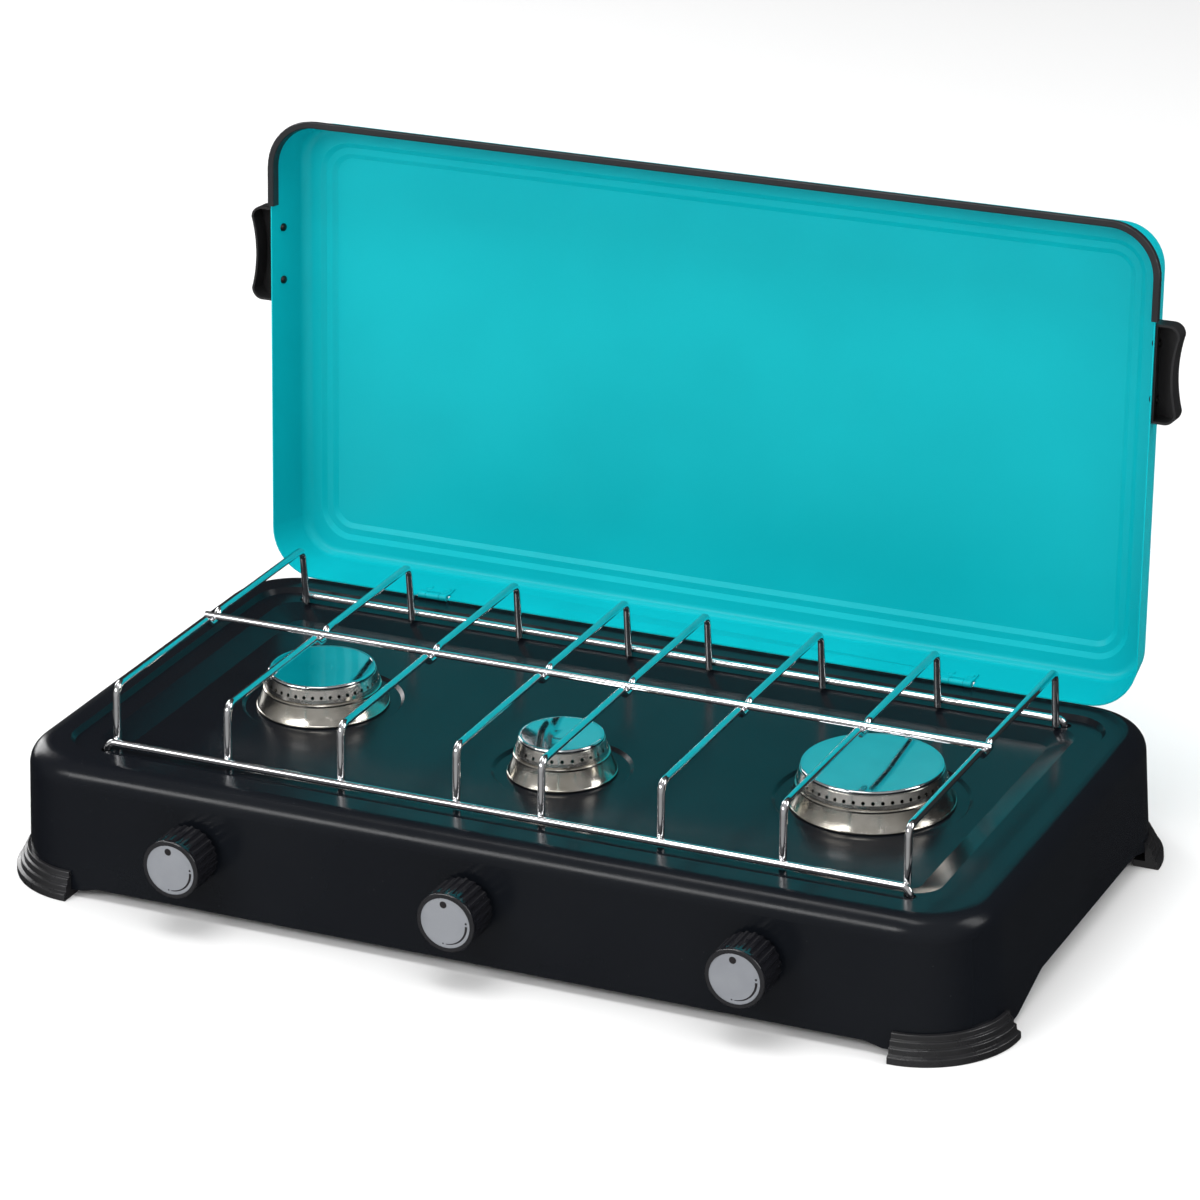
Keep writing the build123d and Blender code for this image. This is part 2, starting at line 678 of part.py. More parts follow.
with BuildPart() as hinge_brackets:
    for x in (-HINGE_X, HINGE_X):
        with BuildSketch(side_plane(deck, x - BRACKET_HALF)):
            with BuildLine():
                # tongue through the deck, then a flange welded under it
                Polyline(
                    (TONGUE_Y, HINGE_H),
                    (TONGUE_Y, -2.1),
                    (TONGUE_Y - 4.2, -SHEET),
                    (FLANGE_FRONT_Y, -SHEET),
                    (FLANGE_FRONT_Y, -SHEET - FLANGE_T),
                    (TONGUE_Y - 4.2, -SHEET - FLANGE_T),
                    (TONGUE_Y + TONGUE_T, -3.4),
                    (TONGUE_Y + TONGUE_T, HINGE_H),
                    close=True,
                )
            make_face()
            with Locations((HINGE_Y, HINGE_H)):
                Circle(KNUCKLE_R)
                Circle(PIN_R, mode=Mode.SUBTRACT)
        extrude(amount=TONGUE_W)
hinge_brackets.part.label = "hinge_brackets"
export_step(hinge_brackets.part, "parts/hinge_brackets.step")

KNUCKLE_END = 11.0
with BuildPart() as hinge_pins:
    for x in (-HINGE_X, HINGE_X):
        with BuildSketch(side_plane(lid_frame, x - KNUCKLE_END)):
            Circle(PIN_R)
        extrude(amount=2 * KNUCKLE_END)
hinge_pins.part.label = "hinge_pins"
export_step(hinge_pins.part, "parts/hinge_pins.step")

# ---- lid ----
LID_SLOPE = math.tan(math.radians(LID_TAPER))
SHEET_INSET = LID_SHEET / math.cos(math.radians(LID_TAPER))
LID_EDGE_R = 8.0
FIELD_STEPS = [
    # inset and corner radius where the step starts and ends, then the heights of both above the ledge
    ((19.0, 24.0), (22.5, 20.5), 0.0, 2.5),
    ((27.0, 17.0), (30.5, 13.5), 2.5, 4.5),
]


def lid_block(grow, low, high, edge_r=0.0):
    """The solid inside the lid's sloping wall, grown sideways, between two heights above the rim."""
    spread = 2 * (grow - low * LID_SLOPE)
    with BuildPart() as block:
        with BuildSketch(lid_frame.offset(RIM_Z + low)):
            with Locations((0, LID_MID_Y)):
                RectangleRounded(LID_W + spread, LID_D + spread, LID_R + spread / 2)
        extrude(amount=high - low, taper=LID_TAPER)
        if edge_r:
            top = block.faces().sort_by(Axis(lid_frame.origin, lid_frame.z_dir))[-1]
            fillet(top.edges(), edge_r)
    return block.part


def raised_field(grow, drop):
    """The two stepped fields that rise from the lid's ledge, grown and moved towards the rim."""
    with BuildPart() as field:
        for start, finish, low, high in FIELD_STEPS:
            for (inset, radius), height in ((start, low), (finish, high)):
                with BuildSketch(lid_frame.offset(RIM_Z + LID_H + height - drop)):
                    with Locations((0, LID_MID_Y)):
                        RectangleRounded(
                            LID_W - 2 * inset + 2 * grow,
                            LID_D - 2 * inset + 2 * grow,
                            radius + grow,
                        )
            loft()
    return field.part


# rivets: side of the lid (or x), distance along the rim from the hinge edge, height above the rim
RIVET_R = 2.0
RIVET_HEAD_R = 2.8
GRIP_RIVET_H = 12.2
LEAF_RIVET_H = 10.2
LEAF_RIVET_X = 7.0


def side_rivet_planes():
    """Planes on the lid's side walls where the grips are riveted, facing outwards."""
    planes = []
    for side in (-1, 1):
        for along in RIVET_ALONG:
            spot = (side * (LID_W / 2 - GRIP_RIVET_H * LID_SLOPE), RIM_BACK - along, RIM_Z + GRIP_RIVET_H)
            normal = lid_frame.x_dir * side + lid_frame.z_dir * LID_SLOPE
            planes.append(Plane(origin=lid_frame.from_local_coords(spot), x_dir=lid_frame.y_dir, z_dir=normal))
    return planes


def leaf_rivet_planes():
    """Planes on the lid's rear wall where the hinge leaves are riveted, facing outwards."""
    planes = []
    for side in (-1, 1):
        for step in (-LEAF_RIVET_X, LEAF_RIVET_X):
            spot = (side * HINGE_X + step, RIM_BACK - LEAF_RIVET_H * LID_SLOPE, RIM_Z + LEAF_RIVET_H)
            normal = lid_frame.y_dir + lid_frame.z_dir * LID_SLOPE
            planes.append(Plane(origin=lid_frame.from_local_coords(spot), x_dir=lid_frame.x_dir, z_dir=normal))
    return planes


with BuildPart() as lid_hollow:
    add(lid_block(-SHEET_INSET, 0, LID_H - LID_SHEET, LID_EDGE_R - LID_SHEET))
    add(raised_field(-LID_SHEET, LID_SHEET))

with BuildPart() as lid_shell:
    add(lid_block(0, 0, LID_H, LID_EDGE_R))
    add(raised_field(0, 0))
    add(lid_hollow.part, mode=Mode.SUBTRACT)
    # notches round the hinge knuckles
    with BuildSketch(lid_frame.offset(RIM_Z)):
        with Locations((-HINGE_X, 0), (HINGE_X, 0)):
            Rectangle(2 * KNUCKLE_END + 2, 8)
    extrude(amount=5.7, mode=Mode.SUBTRACT)
    # holes for the rivets of the grips and of the hinge leaves
    with BuildSketch(*side_rivet_planes(), *leaf_rivet_planes()):
        Circle(RIVET_R + 0.05)
    extrude(amount=4, both=True, mode=Mode.SUBTRACT)
lid_shell.part.label = "lid_shell"
export_step(lid_shell.part, "parts/lid_shell.step")

LEAF_T = 1.0
LEAF_FOOT = 5.0  # the leaf lies against the wall above this height over the hinge axis
LEAF_TOP = 13.0


def wall_in_y(z):
    """Where the inner face of the lid's rear wall is at height z in the lid's frame."""
    return RIM_BACK - SHEET_INSET - (z - RIM_Z) * LID_SLOPE - 0.01


with BuildPart() as lid_hinge_leaves:
    for x in (-HINGE_X, HINGE_X):
        with BuildSketch(side_plane(lid_frame, x - KNUCKLE_END)):
            with BuildLine():
                Polyline(
                    (-KNUCKLE_R, 0),
                    (-KNUCKLE_R + LEAF_T, 0),
                    (wall_in_y(LEAF_FOOT), LEAF_FOOT),
                    (wall_in_y(LEAF_TOP), LEAF_TOP),
                    (wall_in_y(LEAF_TOP) - LEAF_T, LEAF_TOP),
                    (wall_in_y(LEAF_FOOT) - LEAF_T, LEAF_FOOT),
                    close=True,
                )
            make_face()
            Circle(KNUCKLE_R)
            Circle(PIN_R + RUNNING, mode=Mode.SUBTRACT)
        extrude(amount=2 * KNUCKLE_END)
        # room for the bracket's knuckle between the two of the leaf
        with BuildSketch(side_plane(lid_frame, x - BRACKET_HALF - 0.3)):
            with Locations((0, 0)):
                Rectangle(8, 6.4)
        extrude(amount=TONGUE_W + 0.6, mode=Mode.SUBTRACT)
    with BuildSketch(*leaf_rivet_planes()):
        Circle(RIVET_R + 0.05)
    extrude(amount=-5, mode=Mode.SUBTRACT)
lid_hinge_leaves.part.label = "lid_hinge_leaves"
export_step(lid_hinge_leaves.part, "parts/lid_hinge_leaves.step")

with BuildPart() as leaf_rivets:
    for plane in leaf_rivet_planes():
        with BuildSketch(plane.offset(-LID_SHEET - LEAF_T - 0.02)):
            Circle(RIVET_R)
        extrude(amount=LID_SHEET + LEAF_T + 0.02)
        with BuildSketch(plane.offset(-LID_SHEET - LEAF_T - 0.02)):
            Circle(RIVET_HEAD_R)
        extrude(amount=-0.8, taper=25)
        with BuildSketch(plane):
            Circle(RIVET_HEAD_R)
        extrude(amount=0.8, taper=25)
leaf_rivets.part.label = "leaf_rivets"
export_step(leaf_rivets.part, "parts/leaf_rivets.step")

# edge trim: a channel pushed over the rim in front of the grips
TRIM_LIP = 2.0
TRIM_BASE = 1.2
TRIM_LIP_H = 4.8

with BuildPart() as rim_sheet:
    add(lid_block(0, 0, TRIM_LIP_H + 1))
    add(lid_block(-SHEET_INSET, 0, TRIM_LIP_H + 1), mode=Mode.SUBTRACT)

with BuildPart() as lid_edge_trim:
    add(lid_block(TRIM_LIP, -TRIM_BASE, TRIM_LIP_H))
    add(lid_block(-SHEET_INSET - TRIM_LIP, -TRIM_BASE, TRIM_LIP_H), mode=Mode.SUBTRACT)
    foot_edges = lid_edge_trim.faces().sort_by(Axis(lid_frame.origin, lid_frame.z_dir))[0].edges()
    fillet(foot_edges, 0.9)
    add(rim_sheet.part, mode=Mode.SUBTRACT)
    with BuildSketch(lid_frame.offset(RIM_Z - 10)):
        with Locations((0, RIM_BACK - TRIM_START / 2 + 5)):
            Rectangle(LID_W + 40, TRIM_START + 10)
    extrude(amount=40, mode=Mode.SUBTRACT)
lid_edge_trim.part.label = "lid_edge_trim"
export_step(lid_edge_trim.part, "parts/lid_edge_trim.step")

# ---- grips: cups on the side walls of the lid, open towards the rim ----
GRIP_WAIST = 3.5
GRIP_CORNER = 8.0
GRIP_WALL = 1.6
GRIP_START_H, GRIP_END_H = 2.0, 17.8  # heights above the rim
GRIP_BASE = 1.6
GRIP_BACK_T = 2.2


def grip_outline(side, inset):
    """The outline of a grip seen from the rim, rounded at its outer corners and waisted between them."""
    bend = GRIP_CORNER - inset
    corner = bend * (1 - math.sqrt(0.5))
    out = LID_W / 2 + GRIP_OUT - inset
    low, high = GRIP_LOW + inset, GRIP_HIGH - inset
    base = LID_W / 2 - 12
    with BuildSketch() as outline:
        with BuildLine():
            Polyline((out - bend, low), (base, low), (base, high), (out - bend, high))
            ThreePointArc((out - bend, low), (out - corner, low + corner), (out, low + bend))
            ThreePointArc((out, low + bend), (out - GRIP_WAIST, (low + high) / 2), (out, high - bend))
            ThreePointArc((out, high - bend), (out - corner, high - corner), (out - bend, high))
        make_face()
    shape = outline.sketch.mirror(Plane.XZ).move(Location((0, RIM_BACK, 0)))
    if side < 0:
        shape = shape.mirror(Plane.YZ)
    return shape


for name, side in {"left": -1, "right": 1}.items():
    with BuildPart() as grip_cavity:
        with BuildSketch(lid_frame.offset(RIM_Z + GRIP_START_H)):
            add(grip_outline(side, GRIP_WALL))
        extrude(amount=GRIP_END_H - GRIP_START_H - GRIP_BACK_T)
        add(lid_block(GRIP_BASE, 0, LID_H), mode=Mode.SUBTRACT)
    with BuildPart() as grip:
        with BuildSketch(lid_frame.offset(RIM_Z + GRIP_START_H)):
            add(grip_outline(side, 0))
        extrude(amount=GRIP_END_H - GRIP_START_H)
        back = grip.faces().sort_by(Axis(lid_frame.origin, lid_frame.z_dir))[-1]
        outer_edges = [edge for edge in back.edges() if abs(edge.center().X) > LID_W / 2 + 4]
        fillet(outer_edges, 4)
        add(grip_cavity.part, mode=Mode.SUBTRACT)
        add(lid_block(0, 0, LID_H), mode=Mode.SUBTRACT)
        with BuildSketch(*side_rivet_planes()):
            Circle(RIVET_R + 0.05)
        extrude(amount=6, mode=Mode.SUBTRACT)
    grip.part.label = f"grip_{name}"
    export_step(grip.part, f"parts/grip_{name}.step")

with BuildPart() as grip_rivets:
    for plane in side_rivet_planes():
        with BuildSketch(plane.offset(-LID_SHEET - 0.01)):
            Circle(RIVET_R)
        extrude(amount=LID_SHEET + GRIP_BASE + 0.01)
        with BuildSketch(plane.offset(-LID_SHEET - 0.01)):
            Circle(RIVET_HEAD_R)
        extrude(amount=-1.0, taper=25)
        with BuildSketch(plane.offset(GRIP_BASE)):
            Circle(RIVET_HEAD_R)
        extrude(amount=1.0, taper=25)
grip_rivets.part.label = "grip_rivets"
export_step(grip_rivets.part, "parts/grip_rivets.step")
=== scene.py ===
import math

import bmesh
import bpy
from mathutils import Matrix, Vector


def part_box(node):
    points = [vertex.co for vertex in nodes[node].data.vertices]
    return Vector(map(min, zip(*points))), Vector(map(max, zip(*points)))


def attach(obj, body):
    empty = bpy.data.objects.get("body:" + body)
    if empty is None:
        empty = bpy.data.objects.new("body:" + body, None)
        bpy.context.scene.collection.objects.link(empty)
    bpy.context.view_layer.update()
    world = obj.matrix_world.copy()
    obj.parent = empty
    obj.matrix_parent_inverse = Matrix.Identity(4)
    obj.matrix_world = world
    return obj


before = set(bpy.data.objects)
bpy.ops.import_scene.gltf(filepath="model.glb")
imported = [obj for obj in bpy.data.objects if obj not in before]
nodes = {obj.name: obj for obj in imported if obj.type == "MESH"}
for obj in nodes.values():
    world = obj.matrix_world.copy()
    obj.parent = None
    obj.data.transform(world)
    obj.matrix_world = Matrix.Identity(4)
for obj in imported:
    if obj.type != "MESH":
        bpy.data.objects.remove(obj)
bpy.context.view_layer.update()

MM = 0.001
SIDES = ("left", "middle", "right")
CROSS_WIRES = 8


def middle(node):
    """The middle of a CAD node's box."""
    low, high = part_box(node)
    return (Vector(low) + Vector(high)) / 2


# ---------------------------------------------------------------- materials


class Shader:
    """A node material being built round one Principled BSDF."""

    def __init__(self, name):
        self.material = bpy.data.materials.new(name)
        self.material.use_nodes = True
        self.tree = self.material.node_tree
        self.bsdf = self.tree.nodes["Principled BSDF"]
        coordinates = self.tree.nodes.new("ShaderNodeTexCoord")
        self.place = coordinates.outputs["Object"]

    def set(self, **values):
        """Sets constant inputs of the BSDF, named with underscores for spaces."""
        for key, value in values.items():
            socket = self.bsdf.inputs[key.replace("_", " ")]
            socket.default_value = (*value, 1.0) if isinstance(value, tuple) and len(value) == 3 else value
        return self

    def link(self, output, socket):
        """Feeds an input of the BSDF."""
        self.tree.links.new(output, self.bsdf.inputs[socket])
        return self

    def moved(self, centre, stretch=(1, 1, 1)):
        """Coordinates measured from a centre and stretched."""
        mapping = self.tree.nodes.new("ShaderNodeMapping")
        mapping.vector_type = "POINT"
        for i in range(3):
            mapping.inputs["Location"].default_value[i] = -centre[i] * stretch[i]
            mapping.inputs["Scale"].default_value[i] = stretch[i]
        self.tree.links.new(self.place, mapping.inputs["Vector"])
        return mapping.outputs["Vector"]

    def noise(self, scale, detail=3.0, roughness=0.5, vector=None):
        """Soft noise from 0 to 1."""
        node = self.tree.nodes.new("ShaderNodeTexNoise")
        node.inputs["Scale"].default_value = scale
        node.inputs["Detail"].default_value = detail
        node.inputs["Roughness"].default_value = roughness
        self.tree.links.new(vector or self.place, node.inputs["Vector"])
        return node.outputs["Fac"]

    def cells(self, scale):
        """Distance from the nearest of many scattered points."""
        node = self.tree.nodes.new("ShaderNodeTexVoronoi")
        node.inputs["Scale"].default_value = scale
        self.tree.links.new(self.place, node.inputs["Vector"])
        return node.outputs["Distance"]

    def math(self, operation, a, b=None):
        """One arithmetic step on numbers or sockets."""
        node = self.tree.nodes.new("ShaderNodeMath")
        node.operation = operation
        for socket, value in zip(node.inputs, (a, b)):
            if value is None:
                continue
            if isinstance(value, (int, float)):
                socket.default_value = value
            else:
                self.tree.links.new(value, socket)
        return node.outputs["Value"]

    def band(self, value, low, high, to_low=0.0, to_high=1.0):
        """Maps a value smoothly from low..high to to_low..to_high."""
        node = self.tree.nodes.new("ShaderNodeMapRange")
        node.interpolation_type = "SMOOTHSTEP"
        node.inputs["From Min"].default_value = low
        node.inputs["From Max"].default_value = high
        node.inputs["To Min"].default_value = to_low
        node.inputs["To Max"].default_value = to_high
        self.tree.links.new(value, node.inputs["Value"])
        return node.outputs["Result"]

    def mix(self, amount, a, b):
        """Mixes two colours, each a tuple or a socket."""
        node = self.tree.nodes.new("ShaderNodeMix")
        node.data_type = "RGBA"
        self.tree.links.new(amount, node.inputs["Factor"])
        for socket, value in ((node.inputs["A"], a), (node.inputs["B"], b)):
            if isinstance(value, tuple):
                socket.default_value = (*value, 1.0)
            else:
                self.tree.links.new(value, socket)
        return node.outputs["Result"]

    def bump(self, *layers):
        """Stacks bump layers of (height socket, strength, distance in metres)."""
        normal = None
        for height, strength, distance in layers:
            node = self.tree.nodes.new("ShaderNodeBump")
            node.inputs["Strength"].default_value = strength
            node.inputs["Distance"].default_value = distance
            self.tree.links.new(height, node.inputs["Height"])
            if normal is not None:
                self.tree.links.new(normal, node.inputs["Normal"])
            normal = node.outputs["Normal"]
        self.tree.links.new(normal, self.bsdf.inputs["Normal"])
        return self

    def components(self, vector):
        """The X, Y and Z of a vector."""
        split = self.tree.nodes.new("ShaderNodeSeparateXYZ")
        self.tree.links.new(vector, split.inputs["Vector"])
        return split.outputs

    def radius(self, vector, plane="XY"):
        """Distance from the axis across a plane."""
        parts = self.components(vector)
        first, second = parts[plane[0]], parts[plane[1]]
        squares = self.math("ADD", self.math("MULTIPLY", first, first), self.math("MULTIPLY", second, second))
        return self.math("SQRT", squares)


PAINT_IOR = 1.29
DUST_GREY = (0.32, 0.32, 0.31)


def paint(name, colour, light, roughness, peel=1.0, dust=0.0):
    """Sprayed satin paint: slight shade changes, orange peel, fine scratches and some dust."""
    s = Shader(name)
    clouds = s.noise(9.0, 2.0)
    tone = s.mix(s.band(clouds, 0.3, 0.7), colour, light)
    specks = s.band(s.cells(210.0), 0.05, 0.10, 1.0, 0.0)
    rare = s.band(s.noise(34.0, 1.0), 0.60, 0.66)
    dirt = s.math("MULTIPLY", s.math("MULTIPLY", specks, rare), dust)
    tone = s.mix(dirt, tone, DUST_GREY)
    s.link(tone, "Base Color")
    wipe = s.noise(26.0, 4.0, 0.6, s.moved((0, 0, 0), (1.0, 0.25, 1.0)))
    grain = s.noise(420.0, 2.0)
    wear = s.math("ADD", s.math("MULTIPLY", wipe, 0.7), s.math("MULTIPLY", grain, 0.3))
    s.link(s.band(wear, 0.3, 0.7, roughness - 0.035, roughness + 0.045), "Roughness")
    s.bump((s.noise(330.0, 2.0), 0.10 * peel, 0.00030), (s.noise(1600.0, 2.0), 0.06 * peel, 0.00010))
    s.set(IOR=PAINT_IOR)
    return s


def metal(name, colour, tint, roughness, spread=0.05, centre=None, plane="XY", lines=0.0, smear=0.0):
    """Bare or plated metal. With a centre it has fine turning lines round an axis."""
    s = Shader(name)
    s.set(Metallic=1.0)
    clouds = s.noise(38.0, 3.0)
    s.link(s.mix(s.band(clouds, 0.3, 0.72), colour, tint), "Base Color")
    if centre is None:
        fine = s.noise(700.0, 3.0)
        wide = s.noise(60.0, 2.0)
        s.link(s.band(wide, 0.3, 0.7, roughness, roughness + spread), "Roughness")
        s.bump((fine, 0.05 + smear, 0.00010))
        return s
    about = s.moved(centre)
    r = s.radius(about, plane)
    rings = s.math("ADD", s.math("MULTIPLY", r, 2600.0), s.math("MULTIPLY", s.noise(20.0, 2.0), 2.0))
    turning = s.math("SINE", rings)
    coarse = s.math("SINE", s.math("MULTIPLY", r, 930.0))
    worn = s.noise(90.0, 4.0, 0.6)
    s.link(s.band(worn, 0.3, 0.75, roughness, roughness + spread), "Roughness")
    s.bump((turning, lines, 0.00004), (coarse, lines * 0.6, 0.00008), (s.noise(160.0, 2.0), smear, 0.00030))
    return s


def plastic(name, colour, light, roughness, grain_scale, grain, coat=0.0):
    """Moulded plastic with a fine grain and faint flow marks."""
    s = Shader(name)
    flow = s.noise(30.0, 3.0)
    s.link(s.mix(s.band(flow, 0.3, 0.7), colour, light), "Base Color")
    rub = s.noise(75.0, 4.0, 0.6)
    s.link(s.band(rub, 0.3, 0.7, roughness - 0.05, roughness + 0.06), "Roughness")
    s.bump((s.noise(grain_scale, 2.0), grain, 0.00012))
    s.set(Coat_Weight=coat, Coat_Roughness=0.12)
    return s


def finish_with(shader, *names):
    """Gives CAD nodes or pieces one material."""
    for name in names:
        item = nodes[name] if isinstance(name, str) else name
        item.data.materials.clear()
        item.data.materials.append(shader.material)


black_paint = paint("paint_black", (0.0044, 0.0054, 0.0078), (0.0056, 0.0068, 0.0092), 0.22, 1.0, 0.06)
lid_paint = paint("paint_turquoise", (0.002, 0.440, 0.500), (0.003, 0.470, 0.530), 0.32, 0.8, 0.0)
lid_paint.set(Specular_IOR_Level=0.30)
chrome = metal("wire_chrome", (0.84, 0.84, 0.85), (0.76, 0.76, 0.77), 0.035, 0.05, smear=0.01)
zinc = metal("plated_steel", (0.56, 0.56, 0.54), (0.44, 0.44, 0.42), 0.30, 0.15, smear=0.08)
tube = metal("pipe_steel", (0.42, 0.42, 0.42), (0.30, 0.30, 0.30), 0.33, 0.15, smear=0.08)
brass = metal("brass_machined", (0.74, 0.52, 0.20), (0.60, 0.40, 0.14), 0.24, 0.15, smear=0.06)
foot_plastic = plastic("foot_plastic", (0.012, 0.012, 0.013), (0.018, 0.018, 0.020), 0.30, 900.0, 0.12, 0.15)
grip_plastic = plastic("grip_plastic", (0.010, 0.010, 0.011), (0.016, 0.016, 0.017), 0.42, 1200.0, 0.25)
knob_plastic = plastic("knob_plastic", (0.006, 0.006, 0.008), (0.009, 0.009, 0.011), 0.13, 1400.0, 0.05, 0.6)
trim_rubber = plastic("trim_rubber", (0.011, 0.012, 0.014), (0.016, 0.017, 0.020), 0.48, 1500.0, 0.30)
print_ink = plastic("print_ink", (0.008, 0.006, 0.008), (0.013, 0.010, 0.012), 0.45, 2600.0, 0.10)
rivet_black = metal("rivet_black", (0.03, 0.03, 0.03), (0.06, 0.055, 0.05), 0.35, 0.15, smear=0.08)

finish_with(black_paint, "housing")
finish_with(lid_paint, "lid_shell", "lid_hinge_leaves", "hinge_brackets", "leaf_rivets", "hinge_pins")
finish_with(foot_plastic, *[f"foot_{n}" for n in ("front_left", "front_right", "rear_left", "rear_right")])
finish_with(zinc, "foot_screws", "burner_nuts", "valve_clamps")
finish_with(tube, "gas_pipe", *[f"mixing_tube_{n}" for n in SIDES])
finish_with(brass, "gas_inlet", "inlet_nut", "gas_jets")
finish_with(brass, *[f"valve_body_{n}" for n in SIDES], *[f"tap_spindle_{n}" for n in SIDES])
finish_with(zinc, *[f"tap_collar_{n}" for n in SIDES])
finish_with(chrome, "front_rail", "rear_rail", "centre_rail")
finish_with(chrome, *[f"cross_wire_{i}" for i in range(1, CROSS_WIRES + 1)])
finish_with(trim_rubber, "lid_edge_trim")
finish_with(grip_plastic, "grip_left", "grip_right")
finish_with(rivet_black, "grip_rivets")

# look, node, colour, darker colour, roughness, its spread, turning lines, smears
BURNER_LOOKS = (
    ("skirt_steel", "burner_skirt", (0.66, 0.63, 0.57), (0.46, 0.43, 0.37), 0.13, 0.12, 0.10, 0.05),
    ("ring_steel", "flame_ring", (0.74, 0.72, 0.68), (0.52, 0.50, 0.46), 0.14, 0.12, 0.10, 0.14),
    ("cap_polish", "burner_cap", (0.76, 0.78, 0.79), (0.70, 0.72, 0.73), 0.04, 0.05, 0.015, 0.010),
)
DISC_GREY, DISC_SHADE = (0.275, 0.287, 0.310), (0.245, 0.256, 0.280)

for side in SIDES:
    axis = middle(f"burner_cap_{side}")
    for look, node, colour, tint, roughness, spread, lines, smear in BURNER_LOOKS:
        steel = metal(f"{look}_{side}", colour, tint, roughness, spread, axis, "XY", lines, smear)
        finish_with(steel, f"{node}_{side}")
    knob_axis = middle(f"knob_{side}")
    disc = metal(f"disc_satin_{side}", DISC_GREY, DISC_SHADE, 0.36, 0.10, knob_axis, "XZ", 0.12, 0.05)
    disc.set(Metallic=0.15)
    finish_with(disc, f"knob_disc_{side}")
    finish_with(knob_plastic, f"knob_{side}")

for item in nodes.values():
    item.data.shade_smooth()
    item.data.set_sharp_from_angle(angle=math.radians(32))

# ---------------------------------------------------------------- pieces added to the frame


def add_piece(name, mesh_data, shader, body):
    """Turns a bmesh into a finished object that rides on a body."""
    bmesh.ops.recalc_face_normals(mesh_data, faces=mesh_data.faces)
    mesh = bpy.data.meshes.new(name)
    mesh_data.to_mesh(mesh)
    mesh_data.free()
    piece = bpy.data.objects.new(name, mesh)
    bpy.context.scene.collection.objects.link(piece)
    mesh.shade_smooth()
    mesh.set_sharp_from_angle(angle=math.radians(40))
    finish_with(shader, piece)
    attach(piece, body)
    return piece


DOT_R = 2.4 * MM
DOT_OUT = 12.6 * MM
ARC_R = 14.6 * MM
ARC_WIDE, ARC_THIN = 1.7 * MM, 0.5 * MM
END_DOT_R = 0.75 * MM
INK = 0.05 * MM  # how far the print stands out of the disc
# turns round the disc, anticlockwise from its right
OFF_TURN = math.radians(95)
ARC_START_DOT = math.radians(8)
ARC_END_DOT = math.radians(-98)
ARC_SWEEP = math.radians(-90.0)
DOT_STEPS, ARC_STEPS = 28, 36


def disc_marks(side):
    """The printed marks on a knob's disc: the off dot, a tapering arc and a small dot at each of its ends."""
    disc = middle(f"knob_disc_{side}")
    face_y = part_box(f"knob_disc_{side}")[0][1]
    data = bmesh.new()

    def at(across, above):
        return data.verts.new((disc.x + across, face_y, disc.z + above))

    def dot(turn, out, radius):
        centre_x, centre_z = out * math.cos(turn), out * math.sin(turn)
        rim = []
        for i in range(DOT_STEPS):
            around = 2 * math.pi * i / DOT_STEPS
            rim.append(at(centre_x + radius * math.cos(around), centre_z + radius * math.sin(around)))
        data.faces.new(rim)

    dot(OFF_TURN, DOT_OUT, DOT_R)
    dot(ARC_START_DOT, ARC_R, END_DOT_R)
    dot(ARC_END_DOT, ARC_R, END_DOT_R * 0.7)
    pairs = []
    for i in range(ARC_STEPS + 1):
        turn = ARC_SWEEP * i / ARC_STEPS
        half = (ARC_WIDE + (ARC_THIN - ARC_WIDE) * i / ARC_STEPS) / 2
        pairs.append([at(r * math.cos(turn), r * math.sin(turn)) for r in (ARC_R - half, ARC_R + half)])
    for (a, b), (c, d) in zip(pairs, pairs[1:]):
        data.faces.new((a, b, d, c))
    raised = bmesh.ops.extrude_face_region(data, geom=data.faces[:])["geom"]
    front = [v for v in raised if isinstance(v, bmesh.types.BMVert)]
    bmesh.ops.translate(data, verts=front, vec=(0, -INK, 0))
    return add_piece(f"disc_marks_{side}", data, print_ink, f"knob_{side}")


for side in SIDES:
    disc_marks(side)


MID_BEAD = (2.3, 2.3, 0.8)  # half sizes in mm, under the centre rail
END_BEAD = (2.2, 0.9, 2.4)  # half sizes in mm, against the front and rear rails
BEAD_LUMPS = 0.10


def weld_beads():
    """Weld metal squeezed out where the wires of the pan support cross."""
    wire_r = (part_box("centre_rail")[1][2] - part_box("centre_rail")[0][2]) / 2
    rail_z = middle("centre_rail").z
    spots = []
    for number in range(1, CROSS_WIRES + 1):
        wire_x = middle(f"cross_wire_{number}").x
        spots.append(((wire_x, middle("centre_rail").y, rail_z - wire_r), MID_BEAD))
        for rail, end in (("front_rail", 1), ("rear_rail", -1)):
            inner_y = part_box(rail)[1 if end > 0 else 0][1]
            low_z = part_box(rail)[1][2] - wire_r
            spots.append(((wire_x, inner_y, low_z), END_BEAD))
    data = bmesh.new()
    for index, (place, reach) in enumerate(spots):
        bead = bmesh.ops.create_icosphere(data, subdivisions=3, radius=1.0)["verts"]
        for v in bead:
            lump = 1 + BEAD_LUMPS * math.sin(7 * v.co.x + index) * math.cos(6 * v.co.z - index)
            v.co = Vector(place) + Vector([v.co[i] * reach[i] * MM * lump for i in range(3)])
    return add_piece("weld_beads", data, chrome, "stove")


weld_beads()


RIVET_R = 2.8 * MM
DOME_H = 1.7 * MM  # height of the dome above its edge
DOME_ROOT = 0.3 * MM  # part of the dome sunk into the rivet
DOME_SINK = 0.6 * MM
NOTCH = 0.16  # dent in the dome's middle, as a share of its height
NOTCH_WIDTH = 0.05


